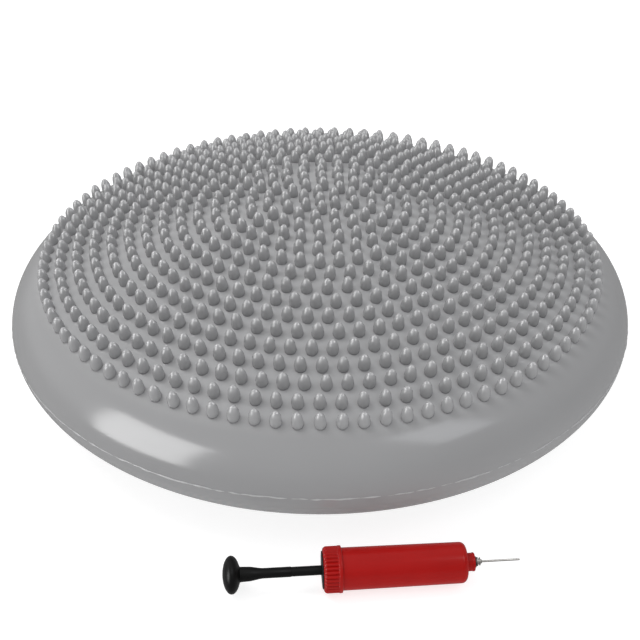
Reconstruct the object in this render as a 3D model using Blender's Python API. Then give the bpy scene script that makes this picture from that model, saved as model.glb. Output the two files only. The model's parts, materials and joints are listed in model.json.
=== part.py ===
"""A wobble cushion, which is a round air-filled balance disc, and the hand pump that fills it.

Metres, +Z up. The origin is the centre of the face that the cushion stands on.
"""

import math

import bmesh
import bpy
from mathutils import Matrix, Vector

MM = 0.001
GAP = 0.3 * MM  # left between two pieces that touch on the real object
MERGE = 0.001 * MM  # points closer than this are one point

# Cushion. Heights are counted from the weld seam that joins its two skins.
RIM_RADIUS = 165 * MM  # 33 cm across, the usual size
RIM_REACH = 34.8 * MM  # how far the rounded rim runs in from the seam
RIM_RISE = 28 * MM
RIM_DROP = 25.3 * MM
RIM_CENTRE = RIM_RADIUS - RIM_REACH
CROWN_HEIGHT = 54.6 * MM
FOOT_RADIUS = 75 * MM  # flat disc in the middle of the underside
FOOT_BLEND = 0.46  # share of RIM_REACH where the rim runs over into the shallow belly
SKIN = 4 * MM

# Nubs: ring k holds NUBS_PER_RING * k of them, round one in the middle.
RINGS = 16
NUBS_PER_RING = 6
RING_PITCH = 9.1 * MM
NUB_HEIGHT = 7.2 * MM
FIELD_RADIUS = RINGS * RING_PITCH
FIELD_TURN = -math.pi / 2
# How far each ring is turned from the pump's side, as a share of the step from nub to nub.
RING_TURNS = (0, 0.1, -0.2, -0.1, 0, -0.1, 0, -0.5, -0.65, -0.2, -0.6, -0.1, -0.4, 0.1, 0.3, 0, 0)
NUB_LEAN = 0.4  # a nub leans outwards by this share of the skin's own tilt

# Air valve, in the lower skin at the back, square to the surface there.
VALVE_ANGLE = math.radians(35)  # how far round the rim's curve, below the seam
VALVE_RADIUS = 6 * MM
VALVE_DEPTH = 14 * MM

# Pump. Its own frame has +X from the handle to the needle and X = 0 at the barrel's mouth.
PUMP_PLACE = (9.5 * MM, -180.2 * MM)
PUMP_TURN = math.radians(4.2)
CAP_RADIUS = 10.05 * MM
CAP_RIBS = 34
RIB_DEPTH = 0.4 * MM
BARREL_RADIUS = 9.05 * MM
BARREL_LENGTH = 53.6 * MM
BARREL_BORE = 7.6 * MM
ROD_RADIUS = 2.05 * MM
SCREW_RADIUS = 0.8 * MM
HANDLE_RADIUS = 8.1 * MM
NOZZLE_RADIUS = 3.9 * MM
NEEDLE_RADIUS = 0.45 * MM
NEEDLE_TIP = 77.1 * MM

CUSHION_SIDES = 72
ROUND_SIDES = 24


# ---- materials ----


def finish(name, colour, roughness, metallic=0.0):
    """A Principled material."""
    material = bpy.data.materials.new(name)
    material.use_nodes = True
    shader = material.node_tree.nodes["Principled BSDF"]
    shader.inputs["Base Color"].default_value = (*colour, 1)
    shader.inputs["Roughness"].default_value = roughness
    shader.inputs["Metallic"].default_value = metallic
    return material


def make_finishes():
    return {
        "skin": finish("grey_vinyl", (0.30, 0.30, 0.31), 0.38),
        "valve": finish("valve_vinyl", (0.20, 0.20, 0.21), 0.45),
        "rubber": finish("black_rubber", (0.02, 0.02, 0.02), 0.7),
        "red": finish("red_plastic", (0.42, 0.015, 0.012), 0.35),
        "black": finish("black_plastic", (0.015, 0.015, 0.015), 0.4),
        "metal": finish("plated_metal", (0.62, 0.60, 0.56), 0.3, 1.0),
    }


# ---- making meshes ----


def add_object(name, mesh, material, parent=None):
    """Puts a finished mesh into the scene as one named piece."""
    mesh.materials.append(material)
    mesh.shade_smooth()
    mesh.set_sharp_from_angle(angle=math.radians(35))
    piece = bpy.data.objects.new(name, mesh)
    bpy.context.collection.objects.link(piece)
    piece.parent = parent
    return piece


def close_mesh(name, bm):
    """Turns the faces outwards and hands over the mesh."""
    bmesh.ops.remove_doubles(bm, verts=bm.verts, dist=MERGE)
    bmesh.ops.recalc_face_normals(bm, faces=bm.faces)
    mesh = bpy.data.meshes.new(name)
    bm.to_mesh(mesh)
    bm.free()
    return mesh


def turned(name, outline, axis=(1, 0, 0), sides=ROUND_SIDES, is_ring=False):
    """A lathe shape. The outline lies in the XZ plane; a ring's outline closes on itself."""
    bm = bmesh.new()
    points = [bm.verts.new((x, 0, z)) for x, z in outline]
    edges = [bm.edges.new(pair) for pair in zip(points, points[1:])]
    if is_ring:
        edges.append(bm.edges.new((points[-1], points[0])))
    bmesh.ops.spin(
        bm,
        geom=points + edges,
        cent=(0, 0, 0),
        axis=axis,
        angle=math.tau,
        steps=sides,
        use_merge=True,
    )
    return close_mesh(name, bm)


def arc(centre_x, centre_z, radius, start, end, steps):
    """Points along a round corner, angles in degrees from +X towards +Z."""
    angles = [math.radians(start + (end - start) * i / steps) for i in range(steps + 1)]
    return [
        (centre_x + radius * math.cos(angle), centre_z + radius * math.sin(angle))
        for angle in angles
    ]


def frame_at(name, location, rotation):
    """An empty that carries the pieces of one sub-assembly."""
    empty = bpy.data.objects.new(name, None)
    empty.location = location
    empty.rotation_euler = rotation
    bpy.context.collection.objects.link(empty)
    return empty


# ---- the cushion's outline ----


def rim_point(angle, height, inset=0.0):
    """A point on the rim's elliptical curve, at this angle above the seam, set in by `inset`."""
    x = RIM_REACH * math.cos(angle)
    z = height * math.sin(angle)
    normal = Vector((x / RIM_REACH**2, z / height**2)).normalized()
    return RIM_CENTRE + x - inset * normal.x, z - inset * normal.y


def rim_slope(share, height):
    """How steeply the rim's curve falls where it has run this share of its reach."""
    return height / RIM_REACH * share / math.sqrt(1 - share**2)


def crown(radius):
    """Height and slope of the domed field, which meets the rim's curve without a kink."""
    share = (FIELD_RADIUS - RIM_CENTRE) / RIM_REACH
    edge_height = RIM_RISE * math.sqrt(1 - share**2)
    rise = CROWN_HEIGHT - edge_height
    quartic = (rim_slope(share, RIM_RISE) * FIELD_RADIUS - 2 * rise) / 2
    square = rise - quartic
    u = radius / FIELD_RADIUS
    height = edge_height + square * (1 - u**2) + quartic * (1 - u**4)
    slope = -(2 * square * u + 4 * quartic * u**3) / FIELD_RADIUS
    return height, slope


def top_point(radius, inset=0.0):
    """A point on the upper skin above this radius, set in by `inset`."""
    if radius <= FIELD_RADIUS:
        height, slope = crown(radius)
        normal = Vector((-slope, 1)).normalized()
        return radius - inset * normal.x, height - inset * normal.y
    return rim_point(math.acos((radius - RIM_CENTRE) / RIM_REACH), RIM_RISE, inset)


def belly_end():
    """Radius, depth and slope where the rim's lower curve becomes the shallow belly."""
    radius = RIM_CENTRE + FOOT_BLEND * RIM_REACH
    depth = RIM_DROP * math.sqrt(1 - FOOT_BLEND**2)
    return radius, depth, rim_slope(FOOT_BLEND, RIM_DROP)


def foot_depth():
    """How far the flat foot lies below the seam."""
    radius, depth, slope = belly_end()
    return depth + slope * (radius - FOOT_RADIUS) / 2


SEAM = foot_depth()  # height of the weld seam above the floor


def belly_point(share, inset=0.0):
    """A point on the belly, from the foot's edge (0) to the rim's curve (1)."""
    radius, _, slope = belly_end()
    run = share * (radius - FOOT_RADIUS)
    height = -foot_depth() + slope * share * run / 2
    normal = Vector((slope * share, -1)).normalized()
    return FOOT_RADIUS + run - inset * normal.x, height - inset * normal.y


# ---- cushion ----


def nub_place(ring, index):
    """Angle and radius of a nub's root."""
    share = (index + RING_TURNS[ring]) / (NUBS_PER_RING * ring) if ring else 0.0
    return FIELD_TURN + math.tau * share, ring * RING_PITCH


def on_top(angle, radius, lift=0.0):
    """A point on the upper skin, or `lift` above it and square to it."""
    reach, height = top_point(radius, -lift)
    return Vector((reach * math.cos(angle), reach * math.sin(angle), height))


def nub_tip(angle, radius):
    """A nub's tip, between straight up from its root and square to the skin there."""
    root = on_top(angle, radius)
    square = on_top(angle, radius, NUB_HEIGHT) - root
    upright = Vector((0, 0, NUB_HEIGHT)).lerp(square, NUB_LEAN)
    return root + upright.normalized() * NUB_HEIGHT


def cells_between(ring):
    """Triangles of nubs (ring, index) that fill the band from this ring to the next."""
    inner = max(NUBS_PER_RING * ring, 1)
    outer = NUBS_PER_RING * (ring + 1)
    for sector in range(NUBS_PER_RING):
        for step in range(ring + 1):
            near = (ring, (sector * ring + step) % inner)
            far = (ring + 1, sector * (ring + 1) + step)
            beside = (ring + 1, (far[1] + 1) % outer)
            yield near, far, beside
            if step < ring:
                yield near, beside, (ring, (near[1] + 1) % inner)


def nub_field(bm):
    """Peaks at the nubs and hollows between them. Returns the field's border, in order."""
    roots = {(0, 0): on_top(0, 0)}
    tips = {(0, 0): bm.verts.new(nub_tip(0, 0))}
    for ring in range(1, RINGS + 1):
        for index in range(NUBS_PER_RING * ring):
            angle, radius = nub_place(ring, index)
            roots[ring, index] = on_top(angle, radius)
            tips[ring, index] = bm.verts.new(nub_tip(angle, radius))
    around = {nub: [] for nub in tips}
    for ring in range(RINGS):
        for cell in cells_between(ring):
            middle = sum((roots[nub] for nub in cell), Vector()) / 3
            angle = math.atan2(middle.y, middle.x)
            hollow = bm.verts.new(on_top(angle, math.hypot(middle.x, middle.y)))
            for nub in cell:
                around[nub].append(hollow)
    border = []
    count = NUBS_PER_RING * RINGS
    for index in range(count):
        angle = nub_place(RINGS, index + 0.5)[0]
        border.append(bm.verts.new(on_top(angle, FIELD_RADIUS + RING_PITCH / 2)))
        around[RINGS, index].append(border[-1])
        around[RINGS, (index + 1) % count].append(border[-1])
    for nub, hollows in around.items():
        root = roots[nub]
        hollows.sort(key=lambda point: math.atan2(point.co.y - root.y, point.co.x - root.x))
        for first, second in zip(hollows, hollows[1:] + hollows[:1]):
            bm.faces.new((tips[nub], first, second))
    return border


def add_rows(bm, ring, outline):
    """Carries a closed ring of points along an outline of (radius, height) to the centre."""
    for radius, height in outline:
        row = []
        for point in ring:
            flat = Vector((point.co.x, point.co.y, 0)).normalized() * radius
            row.append(bm.verts.new((flat.x, flat.y, height)))
        for i, point in enumerate(row):
            bm.faces.new((ring[i - 1], ring[i], point, row[i - 1]))
        ring = row


def make_upper_skin(finishes):
    """The domed membrane with its nubs, open below where the lower skin is welded on."""
    bm = bmesh.new()
    border = nub_field(bm)
    start = math.acos((FIELD_RADIUS + RING_PITCH / 2 - RIM_CENTRE) / RIM_REACH)
    steps = 5
    outside = [rim_point(start * (1 - i / steps), RIM_RISE) for i in range(1, steps)]
    inside = [rim_point(start * i / steps, RIM_RISE, SKIN) for i in range(1, steps + 1, 2)]
    inside += [top_point(FIELD_RADIUS * share, SKIN) for share in (0.85, 0.6, 0.3, 0)]
    outline = outside + [(RIM_RADIUS, GAP / 2), (RIM_RADIUS - SKIN, GAP / 2)] + inside
    add_rows(bm, border, outline)
    mesh = close_mesh("upper_skin", bm)
    piece = add_object("upper_skin", mesh, finishes["skin"])
    piece.location.z = SEAM


def make_lower_skin(finishes, valve_frame):
    """The plain membrane below the seam, with a flat foot and the valve's hole."""
    steps = 5
    end = math.acos(FOOT_BLEND)
    shares = (0.66, 0.33, 0)
    outside = [rim_point(-end * i / steps, RIM_DROP) for i in range(1, steps + 1)]
    outside += [belly_point(share) for share in shares]
    inside = [belly_point(share, SKIN) for share in reversed(shares)]
    inside += [rim_point(-end * i / steps, RIM_DROP, SKIN) for i in range(steps, 0, -2)]
    outline = [(RIM_RADIUS, -GAP / 2)] + outside + [(0, -SEAM), (0, SKIN - SEAM)]
    outline += inside + [(RIM_RADIUS - SKIN, -GAP / 2)]
    mesh = turned("lower_skin", outline, (0, 0, 1), CUSHION_SIDES, is_ring=True)
    piece = add_object("lower_skin", mesh, finishes["skin"])
    piece.location.z = SEAM
    reach = SKIN + 3 * MM
    hole = VALVE_RADIUS + GAP
    outline = [(-reach, 0), (-reach, hole), (reach, hole), (reach, 0)]
    mesh = turned("valve_hole", outline)
    cutter = add_object("valve_hole", mesh, finishes["valve"], valve_frame)
    cutter.hide_render = True
    cutter.display_type = "WIRE"
    cut = piece.modifiers.new("valve_hole", "BOOLEAN")
    cut.object = cutter


# ---- valve ----


def make_valve_frame():
    """+X points out of the skin at the valve."""
    reach, height = rim_point(-VALVE_ANGLE, RIM_DROP)
    inner, deeper = rim_point(-VALVE_ANGLE, RIM_DROP, 1.0)
    normal = Vector((0, reach - inner, height - deeper))
    rotation = normal.to_track_quat("X", "Z").to_euler()
    return frame_at("valve_frame", (0, reach, SEAM + height), rotation)


def make_valve(finishes, frame):
    """The moulded seat that is welded into the skin, and its self-sealing rubber core."""
    mouth = -0.6 * MM
    flange = (-6.4 * MM, -7.9 * MM)
    core_head = 4.2 * MM
    core_stem = 3 * MM
    step = -2.6 * MM
    body = [
        (mouth, core_head + GAP),
        (mouth, VALVE_RADIUS),
        (flange[0], VALVE_RADIUS),
        (flange[0], 8.5 * MM),
        (flange[1], 8.5 * MM),
        (flange[1], 5 * MM),
        (-VALVE_DEPTH, 5 * MM),
        (-VALVE_DEPTH, core_stem + GAP),
        (step, core_stem + GAP),
        (step, core_head + GAP),
    ]
    add_object("valve_seat", turned("valve_seat", body, is_ring=True), finishes["valve"], frame)
    top = -1.1 * MM
    dimple = 1.6 * MM
    channel = 0.5 * MM
    core = [
        (-10 * MM, 0),
        (-10 * MM, channel),
        (top - dimple, channel),
        (top, dimple),
        (top, core_head),
        (step + GAP, core_head),
        (step + GAP, core_stem),
        (-VALVE_DEPTH - 1.5 * MM, core_stem - 0.5 * MM),
        (-VALVE_DEPTH - 1.5 * MM, 0),
    ]
    add_object("valve_core", turned("valve_core", core), finishes["rubber"], frame)


# ---- pump ----

CAP_FRONT = -GAP
CAP_BACK = -8.3 * MM
CAP_WALL = 1.5 * MM
NECK_RADIUS = 8.5 * MM  # the barrel's threaded neck inside the cap
GUIDE_HOLE = 5.5 * MM
GUIDE_FLANGE = 0.5 * MM
GUIDE_BACK = CAP_BACK - GAP - GUIDE_FLANGE
HANDLE_END = -22 * MM  # where the handle's socket ends and the bare rod begins
PISTON_BACK = 17 * MM
SEAT = 49.6 * MM  # inner face of the barrel's end


def make_cap(finishes, frame):
    """Ribbed screw cap that closes the barrel round the rod."""
    rows = [
        (CAP_FRONT, CAP_RADIUS, 0),
        (CAP_FRONT - 2.1 * MM, CAP_RADIUS, 0),
        (CAP_FRONT - 2.4 * MM, CAP_RADIUS - 0.1 * MM, RIB_DEPTH),
        (CAP_BACK + 1.2 * MM, CAP_RADIUS - 0.1 * MM, RIB_DEPTH),
        (CAP_BACK, CAP_RADIUS - 1.1 * MM, 0),
        (CAP_BACK, GUIDE_HOLE, 0),
        (CAP_BACK + CAP_WALL, GUIDE_HOLE, 0),
        (CAP_BACK + CAP_WALL, NECK_RADIUS + GAP, 0),
        (CAP_FRONT, NECK_RADIUS + GAP, 0),
    ]
    bm = bmesh.new()
    sides = 2 * CAP_RIBS
    rings = []
    for x, radius, depth in rows:
        ring = []
        for side in range(sides):
            turn = Matrix.Rotation(math.tau * side / sides, 3, "X")
            ring.append(bm.verts.new(turn @ Vector((x, 0, radius - depth * (side % 2)))))
        rings.append(ring)
    for near, far in zip(rings, rings[1:] + rings[:1]):
        for side in range(sides):
            bm.faces.new((near[side - 1], near[side], far[side], far[side - 1]))
    add_object("pump_cap", close_mesh("pump_cap", bm), finishes["red"], frame)


def make_rod_guide(finishes, frame):
    """Snap-in bush in the cap that the rod slides through, and the wiper ring behind it."""
    bore = ROD_RADIUS + 0.35 * MM
    sleeve = GUIDE_HOLE - GAP
    inner_face = CAP_BACK + CAP_WALL + GAP
    guide = [
        (GUIDE_BACK, bore),
        (GUIDE_BACK, CAP_RADIUS - 2.0 * MM),
        (GUIDE_BACK + GUIDE_FLANGE, CAP_RADIUS - 1.8 * MM),
        (GUIDE_BACK + GUIDE_FLANGE, sleeve),
        (inner_face, sleeve),
        (inner_face, sleeve + 0.6 * MM),
        (inner_face + 0.7 * MM, sleeve),
        (inner_face + 0.7 * MM, bore),
    ]
    mesh = turned("pump_rod_guide", guide, is_ring=True)
    add_object("pump_rod_guide", mesh, finishes["black"], frame)
    back = inner_face + 0.7 * MM + GAP
    wiper = [
        (back, bore),
        (back, sleeve),
        (back + 1.2 * MM, sleeve),
        (back + 1.2 * MM, bore),
    ]
    mesh = turned("pump_rod_wiper", wiper, is_ring=True)
    add_object("pump_rod_wiper", mesh, finishes["rubber"], frame)


def make_barrel(finishes, frame):
    """The air cylinder: threaded neck, drafted wall, and an end with the nozzle's socket."""
    corner = 2.6 * MM
    end_radius = BARREL_RADIUS - 0.3 * MM
    wall = SEAT + 1.2 * MM
    socket = 3 * MM
    outline = [(-6.5 * MM, NECK_RADIUS), (0, NECK_RADIUS), (0, BARREL_RADIUS)]
    outline += arc(BARREL_LENGTH - corner, end_radius - corner, corner, 90, 0, 4)
    outline += [
        (BARREL_LENGTH, socket),
        (wall, socket),
        (wall, 0.7 * MM),
        (SEAT, 0.7 * MM),
        (SEAT, BARREL_BORE),
        (-6.5 * MM, BARREL_BORE),
    ]
    mesh = turned("pump_barrel", outline, sides=36, is_ring=True)
    add_object("pump_barrel", mesh, finishes["red"], frame)


def make_nozzle(finishes, frame):
    """Screwed-in end piece that takes the needle, and the rubber check disc behind it."""
    stud = 2.7 * MM
    socket = 1.65 * MM
    end = 57.2 * MM
    outline = [
        (BARREL_LENGTH - 1.7 * MM, 0.6 * MM),
        (BARREL_LENGTH - 1.7 * MM, stud),
        (BARREL_LENGTH + GAP, stud),
        (BARREL_LENGTH + GAP, NOZZLE_RADIUS),
        (end - 0.4 * MM, NOZZLE_RADIUS),
        (end, NOZZLE_RADIUS - 0.4 * MM),
        (end, socket),
        (end - 2.6 * MM, socket),
        (end - 2.6 * MM, 0.6 * MM),
    ]
    mesh = turned("pump_nozzle", outline, is_ring=True)
    add_object("pump_nozzle", mesh, finishes["red"], frame)
    back = SEAT + 1.2 * MM + GAP
    disc = [(back, 0), (back, 2.2 * MM), (back + 0.5 * MM, 2.2 * MM), (back + 0.5 * MM, 0)]
    mesh = turned("pump_check_disc", disc)
    add_object("pump_check_disc", mesh, finishes["rubber"], frame)


def make_handle(finishes, frame):
    """Lens-shaped push knob and its flared neck, which is a socket for the rod."""
    back = -51.3 * MM
    middle = back + 3.8 * MM
    front_depth = 3.9 * MM
    neck_start = -40.6 * MM
    neck_end = -33.6 * MM
    neck_radius = 3.1 * MM
    shank_radius = 2.2 * MM
    outline = []
    for angle in (-90, -65, -42, -22, -8, 8, 22, 42, 58):
        turn = math.radians(angle)
        depth = middle - back if angle < 0 else front_depth
        outline.append((middle + depth * math.sin(turn), HANDLE_RADIUS * math.cos(turn)))
    outline[0] = (back, 0)
    outline.append((middle + 0.93 * front_depth, neck_radius))
    for step in range(5):
        share = step / 4
        radius = neck_radius - (neck_radius - shank_radius) * share**2 * (3 - 2 * share)
        outline.append((neck_start + (neck_end - neck_start) * share, radius))
    outline += [
        (HANDLE_END, shank_radius),
        (HANDLE_END, 1.7 * MM),
        (HANDLE_END - 10 * MM, 1.7 * MM),
        (HANDLE_END - 10 * MM, 0),
    ]
    mesh = turned("pump_handle", outline, sides=28)
    add_object("pump_handle", mesh, finishes["black"], frame)


def make_plunger(finishes, frame):
    """Rod, piston disc, rubber cup, its backing washer, and the screw that holds them."""
    hole = SCREW_RADIUS + GAP
    rod_end = PISTON_BACK - GAP
    spigot = 1.4 * MM
    rod = [
        (HANDLE_END - 9 * MM, 0),
        (HANDLE_END - 9 * MM, spigot),
        (HANDLE_END + GAP, spigot),
        (HANDLE_END + GAP, ROD_RADIUS),
        (rod_end, ROD_RADIUS),
        (rod_end, hole),
        (rod_end - 8 * MM, hole),
        (rod_end - 8 * MM, 0),
    ]
    add_object("pump_rod", turned("pump_rod", rod, sides=20), finishes["black"], frame)
    disc_end = PISTON_BACK + 2.5 * MM
    rim = BARREL_BORE - 0.5 * MM
    disc = [(PISTON_BACK, hole), (PISTON_BACK, rim), (disc_end, rim), (disc_end, hole)]
    mesh = turned("pump_piston", disc, is_ring=True)
    add_object("pump_piston", mesh, finishes["black"], frame)
    cup_back = disc_end + GAP
    wall = 0.8 * MM
    lip = BARREL_BORE - 0.25 * MM
    cup = [
        (cup_back, hole),
        (cup_back, lip - 1.2 * MM),
        (cup_back + 0.9 * MM, lip - 0.4 * MM),
        (cup_back + 4.2 * MM, lip),
        (cup_back + 4.2 * MM, lip - 0.4 * MM),
        (cup_back + 1.4 * MM, lip - 1.3 * MM),
        (cup_back + wall, lip - 1.9 * MM),
        (cup_back + wall, hole),
    ]
    mesh = turned("pump_cup_seal", cup, is_ring=True)
    add_object("pump_cup_seal", mesh, finishes["rubber"], frame)
    plate_back = cup_back + wall + GAP
    plate_end = plate_back + 0.8 * MM
    plate = [
        (plate_back, hole),
        (plate_back, 4.8 * MM),
        (plate_end, 4.8 * MM),
        (plate_end, hole),
    ]
    mesh = turned("pump_cup_washer", plate, is_ring=True)
    add_object("pump_cup_washer", mesh, finishes["metal"], frame)
    head = plate_end + GAP
    screw = [
        (rod_end - 7 * MM, 0),
        (rod_end - 6.2 * MM, SCREW_RADIUS),
        (head, SCREW_RADIUS),
        (head, 2.2 * MM),
        (head + 0.7 * MM, 2.2 * MM),
        (head + 1.3 * MM, 1.3 * MM),
        (head + 1.5 * MM, 0),
    ]
    mesh = turned("pump_piston_screw", screw, sides=16)
    add_object("pump_piston_screw", mesh, finishes["metal"], frame)


def make_needle(finishes, frame):
    """Hollow inflating needle in its threaded hub, with a sealing washer under the hub."""
    bore = NEEDLE_RADIUS + GAP
    face = 58.2 * MM
    hub = [
        (face - 3 * MM, bore),
        (face - 3 * MM, 1.35 * MM),
        (face, 1.35 * MM),
        (face, 1.95 * MM),
        (face + 0.9 * MM, 1.95 * MM),
        (face + 1.1 * MM, 1.3 * MM),
        (face + 2.2 * MM, 1.05 * MM),
        (face + 2.2 * MM, bore),
    ]
    mesh = turned("needle_hub", hub, is_ring=True, sides=20)
    add_object("needle_hub", mesh, finishes["metal"], frame)
    washer_face = face - GAP
    washer = [
        (washer_face - 0.4 * MM, 1.65 * MM),
        (washer_face - 0.4 * MM, 2.4 * MM),
        (washer_face, 2.4 * MM),
        (washer_face, 1.65 * MM),
    ]
    mesh = turned("needle_washer", washer, is_ring=True, sides=20)
    add_object("needle_washer", mesh, finishes["rubber"], frame)
    tube = [
        (face - 2.5 * MM, 0.2 * MM),
        (face - 2.5 * MM, NEEDLE_RADIUS),
        (NEEDLE_TIP - 0.6 * MM, NEEDLE_RADIUS),
        (NEEDLE_TIP, 0.3 * MM),
        (NEEDLE_TIP, 0.2 * MM),
    ]
    mesh = turned("needle_tube", tube, is_ring=True, sides=12)
    add_object("needle_tube", mesh, finishes["metal"], frame)


def clear_scene():
    for old in list(bpy.data.objects):
        bpy.data.objects.remove(old)


def main():
    clear_scene()
    finishes = make_finishes()
    valve_frame = make_valve_frame()
    make_upper_skin(finishes)
    make_lower_skin(finishes, valve_frame)
    make_valve(finishes, valve_frame)
    pump_frame = frame_at("pump_frame", (*PUMP_PLACE, CAP_RADIUS), (0, 0, PUMP_TURN))
    make_cap(finishes, pump_frame)
    make_rod_guide(finishes, pump_frame)
    make_barrel(finishes, pump_frame)
    make_nozzle(finishes, pump_frame)
    make_handle(finishes, pump_frame)
    make_plunger(finishes, pump_frame)
    make_needle(finishes, pump_frame)


main()
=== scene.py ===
# %% [markdown]
# # A wobble cushion and its hand pump
# The cushion is a round envelope of soft vinyl, a little over a hand's breadth high, blown up
# with air. Its top is a low dome covered with rings of small egg-shaped nubs, and its rim is
# smooth. Beside it lies the plastic pump whose needle goes into the cushion's valve. The
# working model is loaded first. It fixes every size and place, and each piece made below stands
# exactly where that model says.

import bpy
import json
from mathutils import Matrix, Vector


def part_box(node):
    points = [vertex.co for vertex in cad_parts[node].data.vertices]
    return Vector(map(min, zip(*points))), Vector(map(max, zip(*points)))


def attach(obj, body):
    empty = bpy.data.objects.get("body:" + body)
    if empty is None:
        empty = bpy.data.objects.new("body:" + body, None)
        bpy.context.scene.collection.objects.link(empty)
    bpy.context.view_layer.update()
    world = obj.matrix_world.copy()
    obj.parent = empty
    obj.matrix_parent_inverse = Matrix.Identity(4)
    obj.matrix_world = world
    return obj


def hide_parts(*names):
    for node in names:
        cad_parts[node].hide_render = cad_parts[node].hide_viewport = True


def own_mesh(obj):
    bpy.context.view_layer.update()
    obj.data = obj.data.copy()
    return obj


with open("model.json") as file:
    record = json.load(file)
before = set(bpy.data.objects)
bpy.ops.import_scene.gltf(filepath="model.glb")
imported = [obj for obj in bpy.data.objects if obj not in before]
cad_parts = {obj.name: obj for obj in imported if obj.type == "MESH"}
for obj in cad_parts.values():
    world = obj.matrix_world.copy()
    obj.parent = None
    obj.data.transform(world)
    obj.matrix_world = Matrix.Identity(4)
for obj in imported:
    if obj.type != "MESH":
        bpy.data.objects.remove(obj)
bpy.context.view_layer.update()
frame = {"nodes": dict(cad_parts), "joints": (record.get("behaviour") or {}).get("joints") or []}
print("nodes:", sorted(frame["nodes"]))

# %% [markdown]
# ## Where things are
# Three levels run the whole cushion: the floor, the weld seam where the two skins meet, and the
# tip of the middle nub. The seam's height and the rim's radius are read from the model, and the
# shape in between follows from them. Lengths are in metres, so `MM` keeps the small ones easy
# to read.

# %% Main measures
import json
import math
import random

import bmesh
import bpy
from mathutils import Matrix, Vector, noise

MM = 0.001
SEAM = (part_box("upper_skin")[0].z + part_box("lower_skin")[1].z) / 2
RIM_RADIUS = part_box("lower_skin")[1].x
RIM_REACH = 34.8 * MM
RIM_RISE = 28 * MM
RIM_DROP = 25.3 * MM
RIM_CENTRE = RIM_RADIUS - RIM_REACH
SKIN = 4 * MM
RINGS = 16
RING_PITCH = 9.1 * MM
NUBS_PER_RING = 6
FIELD_RADIUS = RINGS * RING_PITCH
NUB_HEIGHT = 7.2 * MM
CROWN_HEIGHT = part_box("upper_skin")[1].z - SEAM - NUB_HEIGHT
FOOT_RADIUS = 75 * MM
FOOT_BLEND = 0.46
print(f"seam {SEAM:.4f} m up, rim radius {RIM_RADIUS:.4f} m")
print(f"crown {CROWN_HEIGHT:.4f} m above the seam")

# %% [markdown]
# ## Camera
# The cushion is seen from the front and well above, so that its far edge still shows. The
# camera stands on a line that rises at `CAMERA_RISE` from the middle of the seam. A short
# distance gives the strong perspective that makes the front nubs larger than the back ones. The
# lens is shifted a little, which leaves room for the pump below.

# %% Make the camera
CAMERA_RISE = math.radians(32.587)
CAMERA_DISTANCE = 0.6239
LENS = 63.77
LENS_SHIFT = -0.0438
SENSOR_WIDTH = 36


def make_camera():
    eye = bpy.data.cameras.new("eye")
    eye.lens = LENS
    eye.sensor_width = SENSOR_WIDTH
    eye.shift_y = LENS_SHIFT
    eye.clip_start = 0.01
    camera = bpy.data.objects.new("camera", eye)
    back = Vector((0, -math.cos(CAMERA_RISE), math.sin(CAMERA_RISE)))
    camera.location = Vector((0, 0, SEAM)) + back * CAMERA_DISTANCE
    camera.rotation_euler = (math.pi / 2 - CAMERA_RISE, 0, 0)
    bpy.context.collection.objects.link(camera)
    bpy.context.scene.camera = camera


make_camera()
print("camera at", [round(v, 3) for v in bpy.context.scene.camera.location])

# %% [markdown]
# ## Lamps
# Shiny vinyl shows its shape through what it mirrors, so the lamps are softboxes with clear
# edges. The key hangs high on the left and only lights the cushion. The big card stands low on
# the left and is only mirrored: it draws the long bright patch on the front of the rim. A
# weaker lamp on the right does a little of both. The nubs get two side lamps of their own
# further down, once they exist.

# %% Hang the softboxes
WHITE = (1, 1, 1)


def softbox(name, azimuth, rise, distance, width, height, radiance, colour=WHITE):
    """An area light in that direction: azimuth 0 is the front, and positive is right."""
    lamp = bpy.data.lights.new(name, "AREA")
    lamp.shape = "RECTANGLE"
    lamp.size = width
    lamp.size_y = height
    lamp.energy = radiance * math.pi * width * height
    lamp.color = colour
    turn, tilt = math.radians(azimuth), math.radians(rise)
    away = Vector((math.sin(turn), -math.cos(turn), 0)) * math.cos(tilt)
    away.z = math.sin(tilt)
    box = bpy.data.objects.new(name, lamp)
    box.location = Vector((0, 0, SEAM)) + away * distance
    box.rotation_euler = away.to_track_quat("Z", "Y").to_euler()
    bpy.context.collection.objects.link(box)
    return box


LAMP_DISTANCE = 1.6
COOL_WHITE = (0.94, 0.96, 1.0)

key = softbox("key", -100, 62, LAMP_DISTANCE, width=0.7, height=0.7, radiance=4.4)
key.visible_glossy = False
softbox("fill", 55, 52, LAMP_DISTANCE, 0.55, 0.7, radiance=2.6, colour=COOL_WHITE)
mirror_card = softbox("mirror_card", -58.5, 16, 2.2, width=1.36, height=1.74, radiance=7.0)
mirror_card.visible_diffuse = False

# %% [markdown]
# ## Shader sums
# A finish is easier to read as a sum than as a web of nodes. `Signal` wraps one output of a
# node, and `+`, `-`, `*` and `**` on it add Math nodes. `Finish` holds one material and has a
# single method that makes nodes. Only colours and numbers that really change over the surface
# are linked. The rest are set on the shader itself.

# %% A small language for shaders
class Signal:
    """An output of a shader node, which can be used in sums."""

    def __init__(self, finish, socket):
        self.finish = finish
        self.socket = socket

    def sum_with(self, operation, first, second):
        node = self.finish.node("Math", {"operation": operation}, {0: first, 1: second})
        return Signal(self.finish, node.outputs[0])

    def __add__(self, other):
        return self.sum_with("ADD", self, other)

    def __radd__(self, other):
        return self.sum_with("ADD", other, self)

    def __sub__(self, other):
        return self.sum_with("SUBTRACT", self, other)

    def __rsub__(self, other):
        return self.sum_with("SUBTRACT", other, self)

    def __mul__(self, other):
        return self.sum_with("MULTIPLY", self, other)

    def __rmul__(self, other):
        return self.sum_with("MULTIPLY", other, self)

    def __pow__(self, other):
        return self.sum_with("POWER", self, other)


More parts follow.
